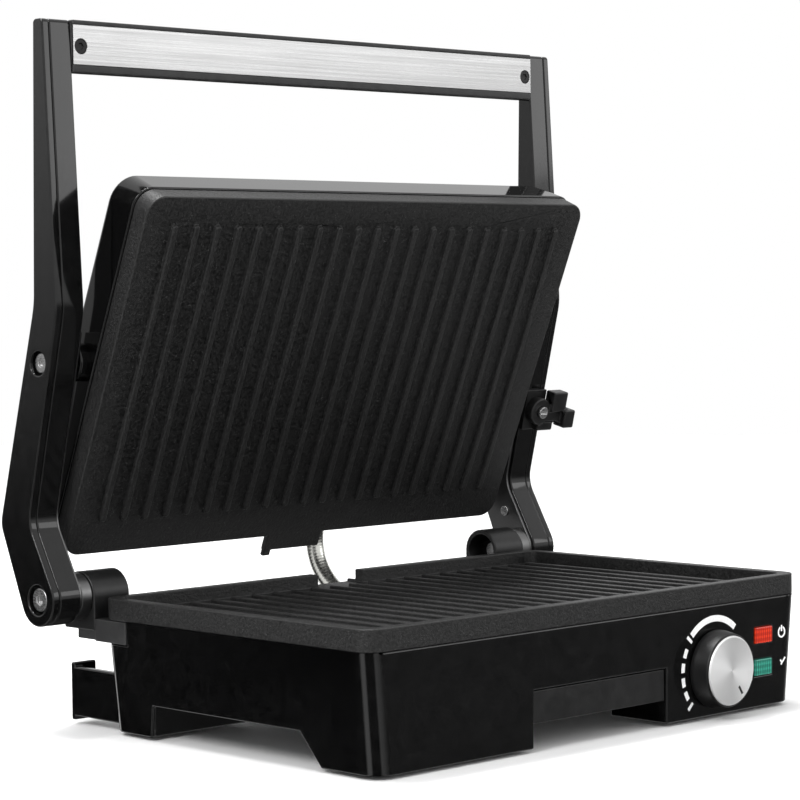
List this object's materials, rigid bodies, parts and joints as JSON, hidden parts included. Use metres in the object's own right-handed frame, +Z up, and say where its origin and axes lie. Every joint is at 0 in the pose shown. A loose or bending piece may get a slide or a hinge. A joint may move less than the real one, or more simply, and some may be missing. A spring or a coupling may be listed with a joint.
{
  "type": "panini press",
  "caption": "countertop contact grill, open: ribbed lower plate in a base with a dial and drip tray, floating ribbed lid on two bent arms with a steel-faced bar handle",
  "frame": {"origin": "on the table, under the middle of the lower cooking plate", "axes": "+X to the side with the knob and release lever, -Y to the front, +Z up"},
  "size_m": [0.354, 0.2555, 0.33],
  "materials": {
    "black_gloss": "polished injection-moulded plastic",
    "black_satin": "fine-spark satin moulded plastic",
    "rubber": "moulded rubber",
    "nonstick": "cast plate with a speckled non-stick coating",
    "screw_steel": "zinc-plated steel",
    "element_steel": "heat-tinted sheathed element",
    "sheet_steel": "plain sheet steel",
    "spun_aluminium": "radially spun face",
    "white_print": "pad-printed ink",
    "red_lens": "translucent moulded lens",
    "green_lens": "translucent moulded lens",
    "ceramic_white": "heat-resistant moulding",
    "bracket_grey": "painted steel",
    "sleeve_grey": "turned sleeve",
    "handle_grey": "heat-resistant satin grip",
    "brushed_face": "stainless strip brushed along its length",
    "black_screw": "black-oxide socket screws",
    "hose_steel": "interlocked flexible metal hose"
  },
  "bodies": {
    "base": {"base_housing": "black_gloss", "base_bottom_cover": "black_satin", "bottom_cover_screws": "screw_steel", "rubber_feet": "rubber", "lower_grill_plate": "nonstick", "lower_plate_screws": "screw_steel", "lower_heating_element": "element_steel", "lower_heat_reflector": "sheet_steel", "thermostat": "sheet_steel", "dial_marks": "white_print", "power_light_lens": "red_lens", "ready_light_lens": "green_lens", "indicator_lamps": "ceramic_white", "cord_cleats": "black_gloss", "cord_grommet": "rubber", "terminal_block": "ceramic_white", "thermal_fuse": "sheet_steel", "conduit_gland_base": "black_satin", "hinge_bracket_left": "bracket_grey", "hinge_bracket_right": "bracket_grey", "hinge_barrel_left": "black_satin", "hinge_barrel_right": "black_satin"},
    "arms": {"hinge_bolts": "screw_steel", "hinge_nuts": "screw_steel", "hinge_sleeves": "sleeve_grey", "arm_left": "black_gloss", "arm_right": "black_gloss", "arm_cover_left": "black_gloss", "arm_cover_right": "black_gloss", "arm_steel_left": "sheet_steel", "arm_steel_right": "sheet_steel", "arm_steel_screws": "screw_steel", "handle_bar": "handle_grey", "handle_rear_grip": "black_satin", "handle_face_plate": "brushed_face", "handle_screws": "black_screw", "lid_pivot_screws": "screw_steel", "lever_bracket": "black_satin", "release_lever_screw": "screw_steel"},
    "lid": {"lid_housing": "black_gloss", "upper_grill_plate": "nonstick", "upper_plate_screws": "screw_steel", "upper_heating_element": "element_steel", "upper_heat_reflector": "sheet_steel", "lid_pivot_bushes": "ceramic_white", "conduit_gland_lid": "black_satin", "wiring_conduit": "hose_steel"},
    "knob": {"thermostat_spindle": "screw_steel", "control_knob": "black_satin", "knob_cap": "spun_aluminium"},
    "tray": {"drip_tray": "black_satin"},
    "lever": {"release_lever": "black_satin"}
  },
  "joints": [
    {"name": "arms_close", "type": "hinge", "parent": "base", "child": "arms", "pos_m": [0, 0.1068, 0.0636], "axis": [1, 0, 0], "range_deg": [0, 75.81], "deforming": ["wiring_conduit"]},
    {"name": "lid_level", "type": "hinge", "parent": "arms", "child": "lid", "pos_m": [0, 0.1034, 0.1729], "axis": [1, 0, 0], "range_deg": [-8.72, 0]},
    {"name": "knob_turn", "type": "hinge", "parent": "base", "child": "knob", "pos_m": [0.079, -0.09029, 0.024], "axis": [0, -0.9999, -0.0171], "range_deg": [0, 292]},
    {"name": "tray_slide", "type": "slide", "parent": "base", "child": "tray", "axis": [0, -1, 0], "range_m": [0, 0.14]},
    {"name": "lever_press", "type": "hinge", "parent": "arms", "child": "lever", "pos_m": [0.161, 0.10274, 0.139], "axis": [0, 0.9704, 0.2416], "range_deg": [0, 20], "stiffness_Nm_per_rad": 0.05}
  ],
  "couplings": [
    {"joint": "lid_level", "follows": "arms_close", "ratio": -0.11493}
  ]
}
